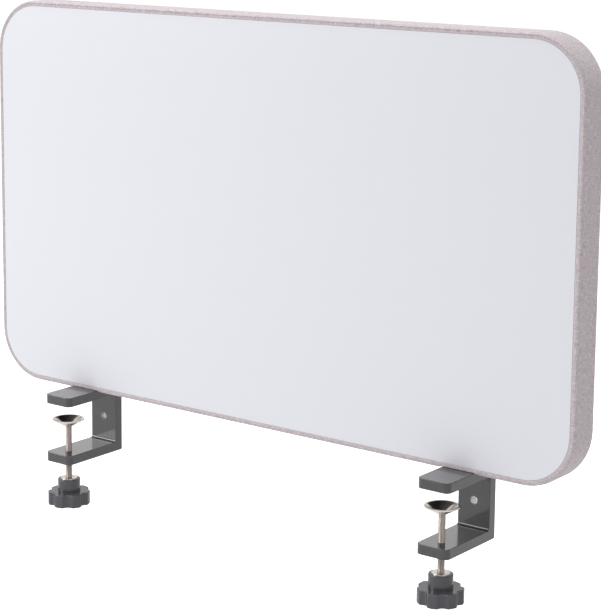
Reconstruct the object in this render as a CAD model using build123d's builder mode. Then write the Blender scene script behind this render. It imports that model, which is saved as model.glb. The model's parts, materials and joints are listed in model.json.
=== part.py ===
from build123d import *
import os

# Desk privacy panel: a fabric-wrapped board with a steel whiteboard face, held up by two screw clamps.
# Millimetres. +X runs along the panel, -Y points at the person at the desk, +Z is up.
# The origin is on the desk's upper rear edge, midway between the clamps: the undersides of the upper
# arms lie on the desk at z = 0, and the inner faces of the webs butt against its edge at y = 0.

# Panel, overall
panel_width = 610.0
panel_height = 350.0
panel_thickness = 30.0
panel_corner_radius = 46.0
panel_edge_radius = 3.5

# Panel, layers from the front to the back
sheet_recess = 0.4  # the sheet lies this far behind the soft rim
sheet_thickness = 0.6
hem_thickness = 0.5  # fabric squeezed flat under the sheet, level with the adhesive
front_board_thickness = 3.0
rear_padding_thickness = 4.0
cover_thickness = 1.5  # woven cloth on a fleece backing
cover_clearance = 0.1  # between the cover and what it is stretched over

# Panel, widths seen from the front
rim_width = 5.0  # visible cloth rim around the sheet
hem_width = 12.0  # cloth turned in under the sheet
sheet_clearance = 0.3  # between the sheet's edge and the rim
frame_rail_width = 22.0
core_clearance = 0.3

# Clamp bracket
clamp_spacing = 402.0
clamp_width = 30.0
clamp_depth = 70.0
jaw_gap = 45.0
arm_thickness = 8.5
web_thickness = 8.5
arm_corner_radius = 5.0
jaw_fillet_radius = 2.0
heel_radius = 1.5
edge_break = 0.5
panel_setback = 4.0  # the panel's back lies this far in front of the web's back
seat_clearance = 0.3  # between the bracket's sides and the cut in the cover
web_hole_radius = 3.25

# Fixing screw (M6 countersunk) and its insert in the frame
fixing_screw_radius = 2.95
fixing_screw_length = 20.0
fixing_head_radius = 6.0
fixing_socket_width = 4.0
fixing_socket_depth = 2.2
fixing_clearance = 0.1
arm_hole_radius = 3.2
insert_radius = 4.5
insert_bore_radius = 3.0
insert_length = 13.0
insert_clearance = 0.05

# Clamping screw (M6 x 1), swivel cup and star knob
screw_radius = 3.0
screw_setback = 15.0  # screw axis behind the arms' front face
thread_clearance = 0.05
cup_drop = 15.0  # cup's rim below the upper arm, in the stored position
cup_radius = 14.25
cup_rim_radius = 12.4
cup_floor_radius = 3.6
cup_height = 7.0
cup_wall = 1.0
cup_floor_thickness = 1.2
stud_radius = 2.0
stud_head_radius = 3.2
stud_head_height = 1.0
swivel_clearance = 0.05
screw_exposed_length = 48.5  # from the cup's underside to the knob's hub
screw_buried_length = 19.0
hub_radius = 10.1
hub_height = 11.5
star_radius = 19.0
star_height = 12.0
star_lobes = 7
star_notch_radius = 4.2
star_notch_centre = 20.6
star_lobe_round = 2.6
knob_edge_radius = 0.8
insert_flange_radius = 7.6
insert_flange_height = 0.8
insert_body_radius = 5.0
knob_insert_clearance = 0.03

# Places that follow
web_back = web_thickness
arm_front = web_thickness - clamp_depth
arm_top = arm_thickness
lower_arm_top = -jaw_gap
lower_arm_bottom = -jaw_gap - arm_thickness
panel_back = web_back - panel_setback
panel_front = panel_back - panel_thickness
panel_bottom = arm_top - cover_thickness
panel_middle_height = panel_bottom + panel_height / 2
panel_middle_depth = (panel_front + panel_back) / 2
sheet_front = panel_front + sheet_recess
hem_front = sheet_front + sheet_thickness
board_front = hem_front + hem_thickness
frame_front = board_front + front_board_thickness
padding_back = panel_back - cover_thickness
frame_back = padding_back - rear_padding_thickness
core_edge_radius = panel_edge_radius - cover_thickness
screw_depth = arm_front + screw_setback
cup_rim_height = -cup_drop
cup_floor_height = cup_rim_height - cup_height
stud_head_base = cup_floor_height + cup_floor_thickness + swivel_clearance
hub_top = cup_floor_height - screw_exposed_length
star_top = hub_top - hub_height
knob_bottom = star_top - star_height

os.makedirs("parts", exist_ok=True)


def upright_plane(y):
    """Plane at depth y that faces the front, centred on the panel: its x is +X and its y is +Z."""
    return Plane(origin=(0, y, panel_middle_height), x_dir=(1, 0, 0), z_dir=(0, -1, 0))


def outline(y, inset):
    """The panel's rounded outline at depth y, taken in by inset on every side."""
    with BuildSketch(upright_plane(y)) as profile:
        RectangleRounded(
            panel_width - 2 * inset,
            panel_height - 2 * inset,
            panel_corner_radius - inset,
        )
    return profile.sketch


# Whiteboard sheet: white-enamelled steel, glued over the hem of the cover
with BuildPart() as whiteboard_sheet:
    extrude(outline(hem_front, rim_width), amount=hem_front - sheet_front)
    fillet(whiteboard_sheet.faces().sort_by(Axis.Y)[0].edges(), sheet_thickness / 4)
whiteboard_sheet.part.label = "whiteboard_sheet"
export_step(whiteboard_sheet.part, "parts/whiteboard_sheet.step")

# Adhesive film that holds the sheet, inside the turned-in hem
with BuildPart() as sheet_adhesive:
    extrude(outline(board_front, rim_width + hem_width), amount=board_front - hem_front)
sheet_adhesive.part.label = "sheet_adhesive"
export_step(sheet_adhesive.part, "parts/sheet_adhesive.step")

# Front board: hardboard behind the sheet, its front edge eased for the cloth
with BuildPart() as front_board:
    extrude(outline(frame_front, cover_thickness), amount=frame_front - board_front)
    fillet(front_board.faces().sort_by(Axis.Y)[0].edges(), core_edge_radius)
front_board.part.label = "front_board"
export_step(front_board.part, "parts/front_board.step")

# Perimeter frame: one fibreboard ring, drilled from below for the two threaded inserts
with BuildPart() as perimeter_frame:
    extrude(outline(frame_back, cover_thickness), amount=frame_back - frame_front)
    opening = outline(frame_back, cover_thickness + frame_rail_width)
    extrude(opening, amount=frame_back - frame_front, mode=Mode.SUBTRACT)
    with BuildSketch(Plane.XY.offset(arm_top)):
        with Locations((0, panel_middle_depth)):
            with GridLocations(clamp_spacing, 0, 2, 1):
                Circle(insert_radius + insert_clearance)
    extrude(amount=insert_length, mode=Mode.SUBTRACT)
perimeter_frame.part.label = "perimeter_frame"
export_step(perimeter_frame.part, "parts/perimeter_frame.step")

# Core infill: sound-absorbing fibre mat inside the frame
with BuildPart() as core_infill:
    core_inset = cover_thickness + frame_rail_width + core_clearance
    extrude(outline(frame_back, core_inset), amount=frame_back - frame_front)
core_infill.part.label = "core_infill"
export_step(core_infill.part, "parts/core_infill.step")

# Rear padding: thin foam that softens the back
with BuildPart() as rear_padding:
    extrude(outline(padding_back, cover_thickness), amount=padding_back - frame_back)
    fillet(rear_padding.faces().sort_by(Axis.Y)[-1].edges(), core_edge_radius)
rear_padding.part.label = "rear_padding"
export_step(rear_padding.part, "parts/rear_padding.step")

# What the cover is stretched over, with a little clearance. It only shapes the cover's inside.
stuffing_front = board_front - cover_clearance
stuffing_back = padding_back + cover_clearance
with BuildPart() as stuffing:
    profile = outline(stuffing_back, cover_thickness - cover_clearance)
    extrude(profile, amount=stuffing_back - stuffing_front)
    front_face = stuffing.faces().sort_by(Axis.Y)[0]
    back_face = stuffing.faces().sort_by(Axis.Y)[-1]
    fillet(front_face.edges() + back_face.edges(), core_edge_radius + cover_clearance)

# Fabric cover: wraps the back, the edges and the front rim, and turns in under the sheet.
# It is cut away where the two brackets bear on the frame.
with BuildPart() as fabric_cover:
    extrude(outline(panel_back, 0), amount=panel_back - panel_front)
    cover_front = fabric_cover.faces().sort_by(Axis.Y)[0]
    cover_back = fabric_cover.faces().sort_by(Axis.Y)[-1]
    fillet(cover_front.edges() + cover_back.edges(), panel_edge_radius)
    sheet_opening = outline(hem_front, rim_width - sheet_clearance)
    extrude(sheet_opening, amount=hem_front - panel_front, mode=Mode.SUBTRACT)
    hem_opening = outline(board_front, rim_width + hem_width - sheet_clearance)
    extrude(hem_opening, amount=board_front - hem_front, mode=Mode.SUBTRACT)
    add(stuffing.part, mode=Mode.SUBTRACT)
    with BuildSketch(Plane.XY.offset(panel_bottom)):
        with Locations((0, panel_middle_depth)):
            with GridLocations(clamp_spacing, 0, 2, 1):
                Rectangle(clamp_width + 2 * seat_clearance, panel_thickness)
    extrude(amount=cover_thickness, mode=Mode.SUBTRACT)
fabric_cover.part.label = "fabric_cover"
export_step(fabric_cover.part, "parts/fabric_cover.step")


def screw_plane(x, height):
    """Horizontal plane centred on a clamp's screw."""
    return Plane((x, screw_depth, height))


for side, clamp_x in (("left", -clamp_spacing / 2), ("right", clamp_spacing / 2)):
    # Bracket: a C cut from an aluminium extrusion, corners rounded, drilled and tapped
    with BuildPart() as bracket:
        with BuildSketch(Plane.YZ.offset(clamp_x)):
            with BuildLine():
                Polyline(
                    (arm_front, arm_top),
                    (web_back, arm_top),
                    (web_back, lower_arm_bottom),
                    (arm_front, lower_arm_bottom),
                    (arm_front, lower_arm_top),
                    (0, lower_arm_top),
                    (0, 0),
                    (arm_front, 0),
                    close=True,
                )
            make_face()
        extrude(amount=clamp_width / 2, both=True)
        across = bracket.edges().filter_by(Axis.X)
        fillet(across.group_by(Axis.Y)[-1], heel_radius)
        across = bracket.edges().filter_by(Axis.X)
        fillet([edge for edge in across if abs(edge.center().Y) < edge_break], jaw_fillet_radius)
        upright = bracket.edges().filter_by(Axis.Z)
        fillet(upright.group_by(Axis.Y)[0], arm_corner_radius)
        flat_sides = bracket.faces().filter_by(Axis.X)
        fillet(flat_sides.edges(), edge_break)
        with BuildSketch(Plane((clamp_x, 0, -jaw_gap / 2), z_dir=(0, 1, 0))):
            Circle(web_hole_radius)
        extrude(amount=web_thickness, mode=Mode.SUBTRACT)
        with BuildSketch(Plane((clamp_x, screw_depth, lower_arm_bottom))):
            Circle(screw_radius + thread_clearance)
        extrude(amount=arm_thickness, mode=Mode.SUBTRACT)
        underside = Plane((clamp_x, panel_middle_depth, 0), z_dir=(0, 0, -1))
        with Locations(underside):
            CounterSinkHole(arm_hole_radius, fixing_head_radius + fixing_clearance, arm_thickness, 90)
    bracket.part.label = f"{side}_bracket"
    export_step(bracket.part, f"parts/{side}_bracket.step")

    # Fixing screw: countersunk, with a hexagon socket, up through the upper arm into the frame
    with BuildPart() as fixing_screw:
        section = Plane((clamp_x, panel_middle_depth, 0), x_dir=(1, 0, 0), z_dir=(0, -1, 0))
        with BuildSketch(section):
            with BuildLine():
                Polyline(
                    (0, 0),
                    (fixing_head_radius, 0),
                    (fixing_screw_radius, fixing_head_radius - fixing_screw_radius),
                    (fixing_screw_radius, fixing_screw_length - fixing_screw_radius / 3),
                    (fixing_screw_radius * 2 / 3, fixing_screw_length),
                    (0, fixing_screw_length),
                    close=True,
                )
            make_face()
        revolve(axis=Axis(section.origin, (0, 0, 1)))
        with BuildSketch(Plane((clamp_x, panel_middle_depth, 0))):
            RegularPolygon(fixing_socket_width / 2, 6, major_radius=False)
        extrude(amount=fixing_socket_depth, mode=Mode.SUBTRACT)
    fixing_screw.part.label = f"{side}_fixing_screw"
    export_step(fixing_screw.part, f"parts/{side}_fixing_screw.step")

    # Threaded insert: a steel bush pressed into the frame from below
    with BuildPart() as threaded_insert:
        with BuildSketch(Plane((clamp_x, panel_middle_depth, arm_top))):
            Circle(insert_radius)
            Circle(insert_bore_radius, mode=Mode.SUBTRACT)
        extrude(amount=insert_length)
        chamfer(threaded_insert.edges().sort_by(Axis.Z)[-1], edge_break)
    threaded_insert.part.label = f"{side}_threaded_insert"
    export_step(threaded_insert.part, f"parts/{side}_threaded_insert.step")

    # Pressure cup: a dished steel plate that presses on the underside of the desk
    with BuildPart() as pressure_cup:
        section = Plane((clamp_x, screw_depth, cup_floor_height), x_dir=(1, 0, 0), z_dir=(0, -1, 0))
        with BuildSketch(section):
            with BuildLine():
                Polyline(
                    (stud_radius + swivel_clearance, 0),
                    (cup_floor_radius, 0),
                    (cup_rim_radius, cup_height - 2 * cup_wall),
                    (cup_radius, cup_height - cup_wall),
                    (cup_radius, cup_height),
                    (cup_rim_radius, cup_height),
                    (cup_floor_radius + cup_wall / 2, cup_floor_thickness),
                    (stud_radius + swivel_clearance, cup_floor_thickness),
                    close=True,
                )
            make_face()
        revolve(axis=Axis(section.origin, (0, 0, 1)))
    pressure_cup.part.label = f"{side}_pressure_cup"
    export_step(pressure_cup.part, f"parts/{side}_pressure_cup.step")

    # Clamping screw: threaded rod whose necked end passes through the cup and is peened over
    with BuildPart() as clamp_screw:
        with BuildSketch(screw_plane(clamp_x, hub_top - screw_buried_length)):
            Circle(screw_radius)
        extrude(amount=screw_exposed_length + screw_buried_length - swivel_clearance)
        chamfer(clamp_screw.edges().sort_by(Axis.Z)[0], edge_break)
        with BuildSketch(screw_plane(clamp_x, cup_floor_height - swivel_clearance)):
            Circle(stud_radius)
        extrude(amount=cup_floor_thickness + 2 * swivel_clearance)
        with BuildSketch(screw_plane(clamp_x, stud_head_base)):
            Circle(stud_head_radius)
        extrude(amount=stud_head_height)
        fillet(clamp_screw.edges().sort_by(Axis.Z)[-1], edge_break)
    clamp_screw.part.label = f"{side}_clamp_screw"
    export_step(clamp_screw.part, f"parts/{side}_clamp_screw.step")

    # Knob insert: flanged metal bush moulded into the hub, fixed on the screw
    with BuildPart() as knob_insert:
        with BuildSketch(screw_plane(clamp_x, hub_top)):
            Circle(insert_flange_radius)
        extrude(amount=insert_flange_height)
        fillet(knob_insert.edges().sort_by(Axis.Z)[-1], insert_flange_height / 2)
        with BuildSketch(screw_plane(clamp_x, hub_top)):
            Circle(insert_body_radius)
        extrude(amount=-hub_height)
        with BuildSketch(screw_plane(clamp_x, hub_top - hub_height)):
            Circle(screw_radius + knob_insert_clearance)
        extrude(amount=hub_height + insert_flange_height, mode=Mode.SUBTRACT)
    knob_insert.part.label = f"{side}_knob_insert"
    export_step(knob_insert.part, f"parts/{side}_knob_insert.step")

    # Star knob: round hub over a lobed grip, moulded in one
    with BuildPart() as knob:
        with BuildSketch(screw_plane(clamp_x, knob_bottom)):
            Circle(star_radius)
            with PolarLocations(star_notch_centre, star_lobes):
                Circle(star_notch_radius, mode=Mode.SUBTRACT)
        extrude(amount=star_height)
        fillet(knob.edges().filter_by(Axis.Z), star_lobe_round)
        rims = knob.faces().filter_by(Axis.Z).edges()
        fillet(rims, knob_edge_radius)
        with BuildSketch(screw_plane(clamp_x, star_top)):
            Circle(hub_radius)
        extrude(amount=hub_height)
        fillet(knob.edges().sort_by(Axis.Z)[-1], knob_edge_radius)
        with BuildSketch(screw_plane(clamp_x, hub_top)):
            Circle(insert_body_radius + knob_insert_clearance)
        extrude(amount=-hub_height, mode=Mode.SUBTRACT)
        with BuildSketch(screw_plane(clamp_x, star_top)):
            Circle(screw_radius + knob_insert_clearance)
        extrude(amount=hub_height - screw_buried_length, mode=Mode.SUBTRACT)
    knob.part.label = f"{side}_knob"
    export_step(knob.part, f"parts/{side}_knob.step")
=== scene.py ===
import json
import math

import bpy
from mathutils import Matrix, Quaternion, Vector


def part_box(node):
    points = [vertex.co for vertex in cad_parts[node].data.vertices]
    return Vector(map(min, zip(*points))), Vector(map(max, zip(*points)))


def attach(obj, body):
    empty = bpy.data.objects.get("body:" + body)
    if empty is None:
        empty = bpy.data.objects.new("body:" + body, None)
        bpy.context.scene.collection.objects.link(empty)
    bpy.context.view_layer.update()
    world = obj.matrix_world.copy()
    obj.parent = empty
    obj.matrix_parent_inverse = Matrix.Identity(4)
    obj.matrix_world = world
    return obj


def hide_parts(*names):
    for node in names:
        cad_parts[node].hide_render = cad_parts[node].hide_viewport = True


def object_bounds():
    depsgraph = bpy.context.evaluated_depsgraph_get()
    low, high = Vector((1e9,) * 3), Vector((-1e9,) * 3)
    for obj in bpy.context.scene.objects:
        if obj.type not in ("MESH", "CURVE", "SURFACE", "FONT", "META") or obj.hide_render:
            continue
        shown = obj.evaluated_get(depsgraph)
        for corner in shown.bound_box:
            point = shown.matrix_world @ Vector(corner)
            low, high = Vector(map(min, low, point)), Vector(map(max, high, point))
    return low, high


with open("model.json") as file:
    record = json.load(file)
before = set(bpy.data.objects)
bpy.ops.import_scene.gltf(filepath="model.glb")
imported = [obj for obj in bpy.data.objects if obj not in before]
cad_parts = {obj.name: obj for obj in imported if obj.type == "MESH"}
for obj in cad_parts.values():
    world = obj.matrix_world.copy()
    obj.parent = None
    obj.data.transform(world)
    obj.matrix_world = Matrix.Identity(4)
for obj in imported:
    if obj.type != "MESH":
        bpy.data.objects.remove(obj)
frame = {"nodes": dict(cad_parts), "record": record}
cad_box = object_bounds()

# ---------------------------------------------------------------------------------------------
# Frame and filling. A fibreboard ring is filled with a fibre mat, faced with hardboard and
# backed with thin foam; two zinc-plated inserts are pressed into its lower rail. All of it is
# shut inside the cover, so the CAD solids stay and only get the finish of raw board and foam.


def linear(hex_colour):
    """A colour written as sRGB hex, as the linear RGBA that the shaders take."""
    parts = [int(hex_colour[i : i + 2], 16) / 255 for i in (1, 3, 5)]
    curve = [c / 12.92 if c <= 0.04045 else ((c + 0.055) / 1.055) ** 2.4 for c in parts]
    return (*curve, 1.0)


def add_node(tree, kind, inputs=None, **settings):
    """Adds one node: settings are its own properties, inputs are values or sockets by name or index."""
    node = tree.nodes.new(kind)
    for name, value in settings.items():
        setattr(node, name, value)
    for key, value in (inputs or {}).items():
        if isinstance(value, bpy.types.NodeSocket):
            tree.links.new(value, node.inputs[key])
        else:
            node.inputs[key].default_value = value
    return node


def start_material(name):
    """A new material holding one Principled shader, as (material, node tree, shader)."""
    material = bpy.data.materials.new(name)
    material.use_nodes = True
    return material, material.node_tree, material.node_tree.nodes["Principled BSDF"]


def finish_cad(node, material):
    """Gives a CAD node's object this one material."""
    piece = frame["nodes"][node]
    piece.data.materials.clear()
    piece.data.materials.append(material)


def speckled(name, base, fleck, fleck_mm, roughness, bump_mm):
    """Raw stock with flecks of a second colour: fleck_mm is the size of a fleck."""
    material, tree, shader = start_material(name)
    place = add_node(tree, "ShaderNodeTexCoord").outputs["Object"]
    flecks = add_node(
        tree,
        "ShaderNodeTexNoise",
        {"Vector": place, "Scale": 1000 / fleck_mm, "Detail": 4.0, "Roughness": 0.6},
    ).outputs["Fac"]
    shade = add_node(
        tree,
        "ShaderNodeMix",
        {"Factor": flecks, 6: linear(base), 7: linear(fleck)},
        data_type="RGBA",
    )
    bump = add_node(
        tree,
        "ShaderNodeBump",
        {"Height": flecks, "Distance": bump_mm / 1000, "Strength": 0.5},
    )
    tree.links.new(shade.outputs[2], shader.inputs["Base Color"])
    tree.links.new(bump.outputs["Normal"], shader.inputs["Normal"])
    shader.inputs["Roughness"].default_value = roughness
    return material


# Sawn fibreboard and hardboard: matt, brown, with fine fibre flecks
fibreboard = speckled("medium_density_fibreboard", "#B08A5E", "#7E5C3A", 1.6, 0.85, 0.15)
hardboard = speckled("pressed_hardboard", "#7A5536", "#50331E", 1.0, 0.6, 0.05)
# Pressed polyester fibre and open-cell foam: pale, matt and slightly pitted
fibre_mat = speckled("polyester_fibre_mat", "#D9D8D3", "#B9B7B2", 2.5, 0.95, 0.4)
foam = speckled("open_cell_foam", "#E6E2D6", "#C9C4B4", 1.2, 0.9, 0.3)
# Acrylic mounting film: clear, slightly yellow, even
adhesive_film = speckled("acrylic_adhesive_film", "#D8D4C2", "#CFCAB4", 6.0, 0.35, 0.02)
finish_cad("perimeter_frame", fibreboard)
finish_cad("front_board", hardboard)
finish_cad("core_infill", fibre_mat)
finish_cad("rear_padding", foam)
finish_cad("sheet_adhesive", adhesive_film)

# ---------------------------------------------------------------------------------------------
# Fabric cover. One piece of heathered polyester cloth, stretched over the filled frame from
# behind, pulled round the edges and turned in under the whiteboard sheet. It rolls softly over
# the front edge, and the two brackets press it flat against the lower rail.

cover_low, cover_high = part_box("fabric_cover")
sheet_low, sheet_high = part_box("whiteboard_sheet")
half_width = (cover_high.x - cover_low.x) / 2
half_height = (cover_high.z - cover_low.z) / 2
cover_middle = (cover_low.z + cover_high.z) / 2
front, back = cover_low.y, cover_high.y
sheet_inset = sheet_low.x - cover_low.x
sheet_back = sheet_high.y
corner_radius = 0.046
edge_roll = 0.0035
cloth_thickness = 0.00045
hem_width = 0.012
hem_level = sheet_back + 0.00005

# Section through the edge, from the hem under the sheet round to the back: each point is how far
# it lies outside the panel's outline and how deep it lies
crease = -sheet_inset
section = [
    (crease - hem_width, hem_level),
    (crease - 0.0006, hem_level),
    (crease + 0.0002, hem_level - 0.0004),
    (crease + 0.0008, front + 0.0001),
    (crease + 0.0016, front - 0.00005),
    (crease + 0.0026, front + 0.00025),
]
for i in range(5):
    turn = math.radians(18 + 18 * i)
    section.append((edge_roll * (math.sin(turn) - 1), front + edge_roll * (1 - math.cos(turn))))
edge_rows = 8
edge_depth = back - front - 2 * edge_roll
for i in range(1, edge_rows):
    section.append((0.0, front + edge_roll + edge_depth * i / edge_rows))
for i in range(6):
    turn = math.radians(18 * i)
    section.append((edge_roll * (math.cos(turn) - 1), back - edge_roll * (1 - math.sin(turn))))

# Distance along the cloth from the outermost row, for a weave that follows the cloth
along = [0.0]
for a, b in zip(section, section[1:]):
    along.append(along[-1] + math.dist(a, b))
back_run = along[-1]

# Stations round the outline: corner centre, outward direction and slide along the straight
bracket_middles = []
for side in ("left", "right"):
    bracket_low, bracket_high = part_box(f"{side}_bracket")
    bracket_middles.append((bracket_low.x + bracket_high.x) / 2)
bracket_half = (bracket_high.x - bracket_low.x) / 2
straight_x = half_width - corner_radius
straight_z = half_height - corner_radius
lower_stops = [straight_x * (2 * i / 64 - 1) for i in range(1, 64)]
for middle in bracket_middles:
    lower_stops = [x for x in lower_stops if abs(abs(x - middle) - bracket_half) > 0.005]
    for reach in (-0.0035, -0.001, 0.0, 0.0008, 0.002, 0.004):
        lower_stops += [middle - bracket_half - reach, middle + bracket_half + reach]
lower_stops.sort()
corner_steps = 18
stations = []


def add_corner(centre_x, centre_z, start):
    """Stations round one rounded corner, a quarter turn on from start degrees."""
    for i in range(corner_steps + 1):
        turn = math.radians(start + 90 * i / corner_steps)
        stations.append((centre_x, centre_z, math.cos(turn), math.sin(turn)))


stations += [(x, -straight_z, 0.0, -1.0) for x in lower_stops]
add_corner(straight_x, -straight_z, -90)
stations += [(straight_x, straight_z * (2 * i / 28 - 1), 1.0, 0.0) for i in range(1, 28)]
add_corner(straight_x, straight_z, 0)
stations += [(-straight_x * (2 * i / 56 - 1), straight_z, 0.0, 1.0) for i in range(1, 56)]
add_corner(-straight_x, straight_z, 90)
stations += [(-straight_x, -straight_z * (2 * i / 28 - 1), -1.0, 0.0) for i in range(1, 28)]
add_corner(-straight_x, -straight_z, 180)


def pressed_in(x):
    """How far a bracket presses the cloth in at this place along the lower edge."""
    seat = bracket_high.z - cover_low.z
    nearest = min(abs(x - middle) for middle in bracket_middles)
    share = min(1.0, max(0.0, (bracket_half + 0.004 - nearest) / 0.004))
    return (seat + 0.00005) * share * share * (3 - 2 * share)


points, cloth_place = [], []
for centre_x, centre_z, out_x, out_z in stations:
    press = pressed_in(centre_x) if out_z == -1.0 else 0.0
    for (out, depth), run in zip(section, along):
        reach = corner_radius + min(out, -press)
        points.append((centre_x + out_x * reach, depth, cover_middle + centre_z + out_z * reach))
        spread = corner_radius + back_run - run
        cloth_place.append((centre_x + out_x * spread, centre_z + out_z * spread))
rows = len(section)
faces = []
for i in range(len(stations)):
    j = (i + 1) % len(stations)
    for k in range(rows - 1):
        faces.append((i * rows + k, i * rows + k + 1, j * rows + k + 1, j * rows + k))

# The back: rings that shrink towards the middle, closed by a fan
ring_shares = [0.985, 0.96, 0.92, 0.86, 0.78, 0.68, 0.56, 0.42, 0.28, 0.14]
last_ring = [i * rows + rows - 1 for i in range(len(stations))]
rim = [points[i] for i in last_ring]
for share in ring_shares:
    ring = []
    for x, y, z in rim:
        points.append((x * share, back, cover_middle + (z - cover_middle) * share))
        cloth_place.append((x * share, (z - cover_middle) * share))
        ring.append(len(points) - 1)
    for i in range(len(stations)):
        j = (i + 1) % len(stations)
        faces.append((last_ring[i], ring[i], ring[j], last_ring[j]))
    last_ring = ring
points.append((0.0, back, cover_middle))
cloth_place.append((0.0, 0.0))
for i in range(len(stations)):
    faces.append((last_ring[i], len(points) - 1, last_ring[(i + 1) % len(stations)]))

cloth_mesh = bpy.data.meshes.new("stretched_cloth")
cloth_mesh.from_pydata(points, [], faces)
cloth_uv = cloth_mesh.uv_layers.new(name="cloth")
for loop in cloth_mesh.loops:
    cloth_uv.data[loop.index].uv = cloth_place[loop.vertex_index]
for face in cloth_mesh.polygons:
    face.use_smooth = True
cover = bpy.data.objects.new("cloth_cover", cloth_mesh)
bpy.context.scene.collection.objects.link(cover)
body = cover.modifiers.new("cloth_thickness", "SOLIDIFY")
body.thickness = cloth_thickness
body.offset = -1.0


def heathered_cloth():
    """Polyester cloth of mixed light and dark yarns: matt, slightly hairy, speckled in streaks."""
    material, tree, shader = start_material("heathered_polyester_cloth")
    place = add_node(tree, "ShaderNodeUVMap", uv_map="cloth").outputs["UV"]
    yarns = []
    # Each thread is 0.9 mm wide, so that it shows, and a dark stretch of yarn runs 5 mm
    thread_mm, streak_mm = 0.9, 5.0
    for across, lengthways in ((thread_mm, streak_mm), (streak_mm, thread_mm)):
        scaled = add_node(
            tree,
            "ShaderNodeMapping",
            {"Vector": place, "Scale": (1000 / across, 1000 / lengthways, 1.0)},
        )
        noise = add_node(
            tree,
            "ShaderNodeTexNoise",
            {"Vector": scaled.outputs[0], "Scale": 1.0, "Detail": 2.0, "Roughness": 0.7},
        )
        yarns.append(noise.outputs["Fac"])
    mixed = add_node(tree, "ShaderNodeMath", {0: yarns[0], 1: yarns[1]}, operation="ADD")
    level = add_node(tree, "ShaderNodeMath", {0: mixed.outputs[0], 1: 0.5}, operation="MULTIPLY")
    tones = add_node(tree, "ShaderNodeValToRGB", {"Fac": level.outputs[0]})
    ramp = tones.color_ramp
    ramp.elements[0].position = 0.3
    ramp.elements[0].color = linear("#958A8F")
    ramp.elements[1].position = 0.7
    ramp.elements[1].color = linear("#DAD2D5")
    middle = ramp.elements.new(0.5)
    middle.color = linear("#BDB3B7")
    weave = []
    for axis in (0, 1):
        part = add_node(tree, "ShaderNodeSeparateXYZ", {"Vector": place}).outputs[axis]
        phase = add_node(
            tree,
            "ShaderNodeMath",
            {0: part, 1: 1000 * math.pi / thread_mm},
            operation="MULTIPLY",
        )
        wave = add_node(tree, "ShaderNodeMath", {0: phase.outputs[0]}, operation="SINE")
        weave.append(wave.outputs[0])
    crossed = add_node(tree, "ShaderNodeMath", {0: weave[0], 1: weave[1]}, operation="MULTIPLY")
    fuzz = add_node(
        tree,
        "ShaderNodeMath",
        {0: crossed.outputs[0], 1: 0.3, 2: mixed.outputs[0]},
        operation="MULTIPLY_ADD",
    )
    bump = add_node(
        tree,
        "ShaderNodeBump",
        {"Height": fuzz.outputs[0], "Distance": 0.0003, "Strength": 0.7},
    )
    tree.links.new(tones.outputs["Color"], shader.inputs["Base Color"])
    tree.links.new(bump.outputs["Normal"], shader.inputs["Normal"])
    shader.inputs["Roughness"].default_value = 0.95
    shader.inputs["Specular IOR Level"].default_value = 0.2
    shader.inputs["Sheen Weight"].default_value = 0.15
    shader.inputs["Sheen Roughness"].default_value = 0.6
    return material


cover.data.materials.append(heathered_cloth())
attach(cover, "panel")
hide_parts("fabric_cover")

# ---------------------------------------------------------------------------------------------
# Whiteboard sheet. Thin steel with white vitreous enamel, glued to the front board over the hem.
# The enamel is smooth and softly glossy, and very slightly blue.


def white_enamel():
    """Fired white enamel: even, smooth, with the faintest waviness in its gloss."""
    material, tree, shader = start_material("white_enamelled_steel")
    place = add_node(tree, "ShaderNodeTexCoord").outputs["Object"]
    waves = add_node(tree, "ShaderNodeTexNoise", {"Vector": place, "Scale": 25.0, "Detail": 1.0})
    gloss = add_node(
        tree,
        "ShaderNodeMapRange",
        {"Value": waves.outputs["Fac"], "To Min": 0.3, "To Max": 0.36},
    )
    bump = add_node(
        tree,
        "ShaderNodeBump",
        {"Height": waves.outputs["Fac"], "Distance": 0.00002, "Strength": 0.3},
    )
    tree.links.new(gloss.outputs[0], shader.inputs["Roughness"])
    tree.links.new(bump.outputs["Normal"], shader.inputs["Normal"])
    shader.inputs["Base Color"].default_value = linear("#D6D6DD")
    shader.inputs["IOR"].default_value = 1.5
    return material


finish_cad("whiteboard_sheet", white_enamel())

# ---------------------------------------------------------------------------------------------
# Clamp brackets. Each is a C of aluminium extrusion, sawn to width, tumbled smooth and
# powder-coated dark grey. The coat is semi-gloss, with a very fine grain.


web_hole = next(m for m in frame["record"]["mounts"] if m["name"] == "right_web_hole")
hole_x, _, hole_z = web_hole["pos_m"]
hole_radius = web_hole["dims"]["r_mm"] / 1000


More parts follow.
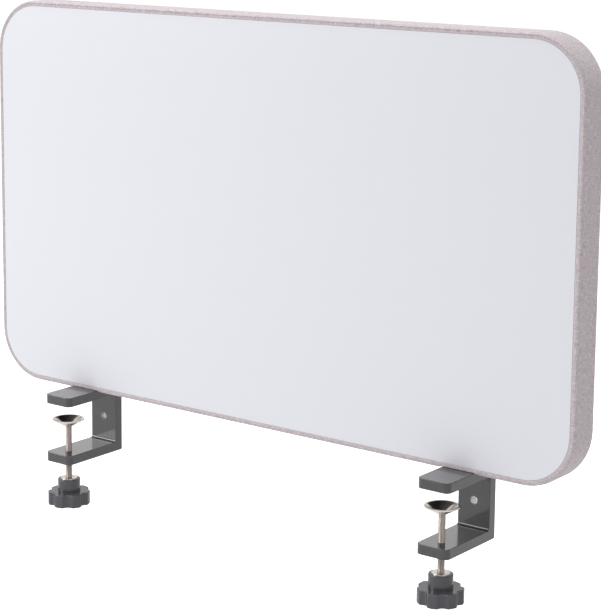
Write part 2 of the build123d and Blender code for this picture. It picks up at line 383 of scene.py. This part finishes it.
def powder_coat():
    """Dark grey powder coat: semi-gloss, fine grain; the web holes, drilled later, are bare metal."""
    material, tree, shader = start_material("dark_grey_powder_coat")
    place = add_node(tree, "ShaderNodeTexCoord").outputs["Object"]
    split = add_node(tree, "ShaderNodeSeparateXYZ", {"Vector": place}).outputs
    side = add_node(tree, "ShaderNodeMath", {0: split["X"]}, operation="ABSOLUTE")
    across = add_node(tree, "ShaderNodeMath", {0: side.outputs[0], 1: hole_x}, operation="SUBTRACT")
    above = add_node(tree, "ShaderNodeMath", {0: split["Z"], 1: hole_z}, operation="SUBTRACT")
    spoke = add_node(tree, "ShaderNodeCombineXYZ", {0: across.outputs[0], 1: above.outputs[0]})
    reach = add_node(tree, "ShaderNodeVectorMath", {0: spoke.outputs[0]}, operation="LENGTH")
    bare = add_node(
        tree,
        "ShaderNodeMath",
        {0: reach.outputs["Value"], 1: hole_radius + 0.0001},
        operation="LESS_THAN",
    )
    grain = add_node(tree, "ShaderNodeTexNoise", {"Vector": place, "Scale": 1000 / 0.8, "Detail": 2.0})
    blotch = add_node(tree, "ShaderNodeTexNoise", {"Vector": place, "Scale": 1000 / 12, "Detail": 2.0})
    shade = add_node(
        tree,
        "ShaderNodeMix",
        {"Factor": blotch.outputs["Fac"], 6: linear("#242326"), 7: linear("#2C2B2E")},
        data_type="RGBA",
    )
    surface = add_node(
        tree,
        "ShaderNodeMix",
        {"Factor": bare.outputs[0], 6: shade.outputs[2], 7: linear("#A9AAAC")},
        data_type="RGBA",
    )
    bump = add_node(
        tree,
        "ShaderNodeBump",
        {"Height": grain.outputs["Fac"], "Distance": 0.00003, "Strength": 0.4},
    )
    tree.links.new(bare.outputs[0], shader.inputs["Metallic"])
    tree.links.new(surface.outputs[2], shader.inputs["Base Color"])
    tree.links.new(bump.outputs["Normal"], shader.inputs["Normal"])
    shader.inputs["Roughness"].default_value = 0.19
    shader.inputs["IOR"].default_value = 1.5
    shader.inputs["Coat Weight"].default_value = 0.8
    shader.inputs["Coat Roughness"].default_value = 0.08
    return material


coat = powder_coat()
for side in ("left", "right"):
    finish_cad(f"{side}_bracket", coat)

# ---------------------------------------------------------------------------------------------
# Fixing screws and inserts. M6 countersunk screws go up through the upper arms into bushes
# pressed into the frame. Both are zinc-plated steel: pale, bluish, with a soft gloss.


def plated(name, colour, roughness, grain_mm):
    """Plated steel: grain_mm is the size of the faint cloudiness in the plating."""
    material, tree, shader = start_material(name)
    place = add_node(tree, "ShaderNodeTexCoord").outputs["Object"]
    cloud = add_node(
        tree,
        "ShaderNodeTexNoise",
        {"Vector": place, "Scale": 1000 / grain_mm, "Detail": 3.0},
    )
    gloss = add_node(
        tree,
        "ShaderNodeMapRange",
        {"Value": cloud.outputs["Fac"], "To Min": roughness * 0.8, "To Max": roughness * 1.2},
    )
    tree.links.new(gloss.outputs[0], shader.inputs["Roughness"])
    shader.inputs["Base Color"].default_value = linear(colour)
    shader.inputs["Metallic"].default_value = 1.0
    return material


zinc = plated("zinc_plated_steel", "#C4C6CA", 0.3, 2.0)
for side in ("left", "right"):
    finish_cad(f"{side}_fixing_screw", zinc)
    finish_cad(f"{side}_threaded_insert", zinc)

# ---------------------------------------------------------------------------------------------
# Clamping screws. M6 rod with a rolled thread of 1 mm pitch, dull nickel-plated; its upper end
# is necked, passed through the pressure cup and peened over into a low round head.

screw_radius = 0.003
thread_pitch = 0.001
thread_depth = 0.00055
neck_radius = 0.002
rivet_height = 0.001


def thread_tree():
    """Geometry Nodes tree that makes a threaded rod standing on its own base, along Z."""
    tree = bpy.data.node_groups.new("rolled_thread", "GeometryNodeTree")
    tree.interface.new_socket("Geometry", in_out="OUTPUT", socket_type="NodeSocketGeometry")
    lengths = {"Radius": screw_radius, "Length": 0.06, "Pitch": thread_pitch, "Depth": thread_depth}
    for name, value in lengths.items():
        socket = tree.interface.new_socket(name, in_out="INPUT", socket_type="NodeSocketFloat")
        socket.default_value = value
    for name, value in (("Sides", 28), ("Rings", 400)):
        socket = tree.interface.new_socket(name, in_out="INPUT", socket_type="NodeSocketInt")
        socket.default_value = value
    plating = tree.interface.new_socket("Plating", in_out="INPUT", socket_type="NodeSocketMaterial")
    given = add_node(tree, "NodeGroupInput").outputs
    rod = add_node(
        tree,
        "GeometryNodeMeshCylinder",
        {
            "Vertices": given["Sides"],
            "Side Segments": given["Rings"],
            "Radius": given["Radius"],
            "Depth": given["Length"],
        },
    )
    place = add_node(tree, "GeometryNodeInputPosition").outputs[0]
    split = add_node(tree, "ShaderNodeSeparateXYZ", {0: place}).outputs
    angle = add_node(tree, "ShaderNodeMath", {0: split["Y"], 1: split["X"]}, operation="ARCTAN2")
    turns = add_node(tree, "ShaderNodeMath", {0: angle.outputs[0], 1: math.tau}, operation="DIVIDE")
    climb = add_node(tree, "ShaderNodeMath", {0: split["Z"], 1: given["Pitch"]}, operation="DIVIDE")
    phase = add_node(
        tree,
        "ShaderNodeMath",
        {0: climb.outputs[0], 1: turns.outputs[0]},
        operation="SUBTRACT",
    )
    flank = add_node(tree, "ShaderNodeMath", {0: phase.outputs[0], 1: 0.5}, operation="PINGPONG")
    inward = add_node(tree, "ShaderNodeMath", {0: flank.outputs[0], 1: 2.0}, operation="MULTIPLY")
    cut_in = add_node(
        tree,
        "ShaderNodeMath",
        {0: inward.outputs[0], 1: given["Depth"]},
        operation="MULTIPLY",
    )
    share = add_node(
        tree,
        "ShaderNodeMath",
        {0: cut_in.outputs[0], 1: given["Radius"]},
        operation="DIVIDE",
    )
    inward_share = add_node(tree, "ShaderNodeMath", {0: share.outputs[0], 1: -1.0}, operation="MULTIPLY")
    flat_place = add_node(tree, "ShaderNodeCombineXYZ", {0: split["X"], 1: split["Y"]})
    offset = add_node(
        tree,
        "ShaderNodeVectorMath",
        {0: flat_place.outputs[0], "Scale": inward_share.outputs[0]},
        operation="SCALE",
    )
    moved = add_node(
        tree,
        "GeometryNodeSetPosition",
        {"Geometry": rod.outputs["Mesh"], "Offset": offset.outputs[0]},
    )
    real = add_node(tree, "GeometryNodeRealizeInstances", {0: moved.outputs[0]})
    coated = add_node(
        tree,
        "GeometryNodeSetMaterial",
        {"Geometry": real.outputs[0], "Material": given["Plating"]},
    )
    add_node(tree, "NodeGroupOutput", {0: coated.outputs[0]})
    return tree


def set_input(modifier, name, value):
    """Sets a Geometry Nodes input by its socket's identifier."""
    for item in modifier.node_group.interface.items_tree:
        if item.name == name and item.in_out == "INPUT":
            modifier[item.identifier] = value


def grown(name, tree, values):
    """A plain mesh grown by a Geometry Nodes tree with these input values."""
    seed = bpy.data.objects.new(name + "_seed", bpy.data.meshes.new(name + "_seed"))
    bpy.context.scene.collection.objects.link(seed)
    modifier = seed.modifiers.new("grow", "NODES")
    modifier.node_group = tree
    for key, value in values.items():
        set_input(modifier, key, value)
    seed.update_tag()
    depsgraph = bpy.context.evaluated_depsgraph_get()
    mesh = bpy.data.meshes.new_from_object(seed.evaluated_get(depsgraph))
    mesh.name = name
    bpy.data.objects.remove(seed)
    return mesh


def lathe(name, profile, centre, steps):
    """A solid turned about a vertical axis: profile is (radius, height) points, in metres."""
    verts, quads, at = [], [], []
    for radius, height in profile:
        if radius < 1e-7:
            at.append([len(verts)] * steps)
            verts.append((centre[0], centre[1], height))
        else:
            at.append(list(range(len(verts), len(verts) + steps)))
            for i in range(steps):
                turn = math.tau * i / steps
                x = centre[0] + radius * math.cos(turn)
                y = centre[1] + radius * math.sin(turn)
                verts.append((x, y, height))
    for low, high in zip(at, at[1:]):
        for i in range(steps):
            j = (i + 1) % steps
            quads.append(tuple(dict.fromkeys((low[i], low[j], high[j], high[i]))))
    mesh = bpy.data.meshes.new(name)
    mesh.from_pydata(verts, [], [q for q in quads if len(q) > 2])
    for face in mesh.polygons:
        face.use_smooth = True
    return mesh


def place_piece(name, mesh, body_name, material=None):
    """Links a mesh as a piece at the origin, and lets it ride on a body."""
    piece = bpy.data.objects.new(name, mesh)
    bpy.context.scene.collection.objects.link(piece)
    if material is not None:
        piece.data.materials.clear()
        piece.data.materials.append(material)
    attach(piece, body_name)
    return piece


thread = thread_tree()
dull_nickel = plated("dull_nickel_plated_thread", "#A79E99", 0.32, 1.5)
for side in ("left", "right"):
    low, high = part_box(f"{side}_clamp_screw")
    axis_x, axis_y = (low.x + high.x) / 2, (low.y + high.y) / 2
    cup_low, cup_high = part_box(f"{side}_pressure_cup")
    rod_top = cup_low.z - 0.00005
    length = rod_top - low.z
    rod_mesh = grown(f"{side}_threaded_rod", thread, {"Length": length, "Plating": dull_nickel})
    for vertex in rod_mesh.vertices:
        vertex.co += Vector((axis_x, axis_y, low.z + length / 2))
    for face in rod_mesh.polygons:
        face.use_smooth = len(face.vertices) == 4
    rod = place_piece(f"{side}_threaded_rod", rod_mesh, f"{side}_screw")
    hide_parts(f"{side}_clamp_screw")
    head_base = high.z - rivet_height
    head = [
        (0.0, rod_top),
        (neck_radius, rod_top),
        (neck_radius, head_base),
        (0.003, head_base),
        (0.0032, head_base + 0.0002),
        (0.0031, head_base + 0.00045),
        (0.0027, head_base + 0.0007),
        (0.0018, head_base + 0.0009),
        (0.0, high.z),
    ]
    rivet = place_piece(
        f"{side}_peened_end",
        lathe("peened_end", head, (axis_x, axis_y), 40),
        f"{side}_screw",
        dull_nickel,
    )

# ---------------------------------------------------------------------------------------------
# Pressure cups. A disc of thin steel pressed into a shallow dish and bright nickel-plated; it
# hangs loosely on the screw's peened end and presses its rim on the underside of the desk.

bright_nickel = plated("bright_nickel_plate", "#CFC8C1", 0.16, 6.0)
for side in ("left", "right"):
    finish_cad(f"{side}_pressure_cup", bright_nickel)
    finish_cad(f"{side}_knob_insert", bright_nickel)

# ---------------------------------------------------------------------------------------------
# Star knobs. Dark grey ABS, moulded in one over the metal bush: a round hub with a lobed grip
# under it. The mould was polished, so the plastic is glossy.


def glossy_moulding():
    """Dark moulded plastic from a polished mould: deep grey, glossy, with faint flow marks."""
    material, tree, shader = start_material("dark_grey_abs_moulding")
    place = add_node(tree, "ShaderNodeTexCoord").outputs["Object"]
    flow = add_node(tree, "ShaderNodeTexNoise", {"Vector": place, "Scale": 1000 / 9, "Detail": 3.0})
    gloss = add_node(
        tree,
        "ShaderNodeMapRange",
        {"Value": flow.outputs["Fac"], "To Min": 0.07, "To Max": 0.13},
    )
    bump = add_node(
        tree,
        "ShaderNodeBump",
        {"Height": flow.outputs["Fac"], "Distance": 0.0001, "Strength": 0.2},
    )
    tree.links.new(gloss.outputs[0], shader.inputs["Roughness"])
    tree.links.new(bump.outputs["Normal"], shader.inputs["Normal"])
    shader.inputs["Base Color"].default_value = linear("#47464C")
    shader.inputs["IOR"].default_value = 1.53
    return material


moulding = glossy_moulding()
for side in ("left", "right"):
    finish_cad(f"{side}_knob", moulding)

# ---------------------------------------------------------------------------------------------
# Studio. A pale floor just under the knobs at the lowest they can be screwed, white surroundings,
# one big soft lamp to the upper left, one above and a weak one to the right.

drop = min(joint["range_m"][0] for joint in frame["record"]["behaviour"]["joints"] if "range_m" in joint)
level = cad_box[0].z + drop - 0.001
floor_mesh = bpy.data.meshes.new("floor")
reach = 8.0
floor_mesh.from_pydata(
    [(-reach, -reach, level), (reach, -reach, level), (reach, reach, level), (-reach, reach, level)],
    [],
    [(0, 1, 2, 3)],
)
floor = bpy.data.objects.new("floor", floor_mesh)
bpy.context.scene.collection.objects.link(floor)


def pale_floor():
    """White paper roll: to the camera it glows a little, so that it reads as white, and keeps shadows."""
    material, tree, shader = start_material("white_paper_roll")
    rays = add_node(tree, "ShaderNodeLightPath").outputs
    shader.inputs["Base Color"].default_value = linear("#F2F2F2")
    shader.inputs["Roughness"].default_value = 0.9
    shader.inputs["Emission Color"].default_value = linear("#FFFFFF")
    glow = add_node(tree, "ShaderNodeMath", {0: rays["Is Camera Ray"], 1: 0.62}, operation="MULTIPLY")
    tree.links.new(glow.outputs[0], shader.inputs["Emission Strength"])
    return material


floor.data.materials.append(pale_floor())

world = bpy.data.worlds.new("white_surroundings")
bpy.context.scene.world = world
world.use_nodes = True
sky = world.node_tree
sky.nodes.clear()
rays = add_node(sky, "ShaderNodeLightPath").outputs
seen = add_node(
    sky,
    "ShaderNodeMath",
    {0: rays["Is Camera Ray"], 1: rays["Is Glossy Ray"]},
    operation="MAXIMUM",
)
seen = add_node(
    sky,
    "ShaderNodeMath",
    {0: seen.outputs[0], 1: rays["Is Transmission Ray"]},
    operation="MAXIMUM",
)
ambient = 0.45
strength = add_node(
    sky,
    "ShaderNodeMapRange",
    {"Value": seen.outputs[0], "To Min": ambient, "To Max": 1.0},
)
surround = add_node(
    sky,
    "ShaderNodeBackground",
    {"Color": linear("#FFFFFF"), "Strength": strength.outputs[0]},
)
add_node(sky, "ShaderNodeOutputWorld", {"Surface": surround.outputs[0]})


def softbox(name, place, aim, size, power):
    """A square area lamp at place, aimed at a point."""
    lamp = bpy.data.lights.new(name, "AREA")
    lamp.shape = "SQUARE"
    lamp.size = size
    lamp.energy = power
    holder = bpy.data.objects.new(name, lamp)
    holder.location = place
    holder.rotation_euler = (Vector(aim) - Vector(place)).to_track_quat("-Z", "Y").to_euler()
    bpy.context.scene.collection.objects.link(holder)


panel_centre = (0.0, (front + back) / 2, cover_middle)
softbox("key_softbox", (-1.5, -1.55, 1.1), panel_centre, 1.2, 31)
softbox("top_softbox", (0.1, 0.1, 2.1), panel_centre, 1.2, 28)
softbox("right_fill", (2.0, -0.9, 0.6), panel_centre, 1.2, 4)

lens = bpy.data.cameras.new("studio_camera")
lens.sensor_width = 36.0
lens.lens = 116.95
lens.shift_y = -0.1623
camera = bpy.data.objects.new("studio_camera", lens)
camera_yaw = math.radians(37.08)
camera_pitch = math.radians(9.484)
camera_roll = math.radians(0.543)
camera.location = (1.0192, -1.3169, 0.4715)
look = Vector(
    (
        -math.sin(camera_yaw) * math.cos(camera_pitch),
        math.cos(camera_yaw) * math.cos(camera_pitch),
        -math.sin(camera_pitch),
    )
)
camera.rotation_mode = "QUATERNION"
camera.rotation_quaternion = look.to_track_quat("-Z", "Y") @ Quaternion((0, 0, 1), camera_roll)
bpy.context.scene.collection.objects.link(camera)
bpy.context.scene.camera = camera
bpy.context.scene.view_settings.view_transform = "Standard"
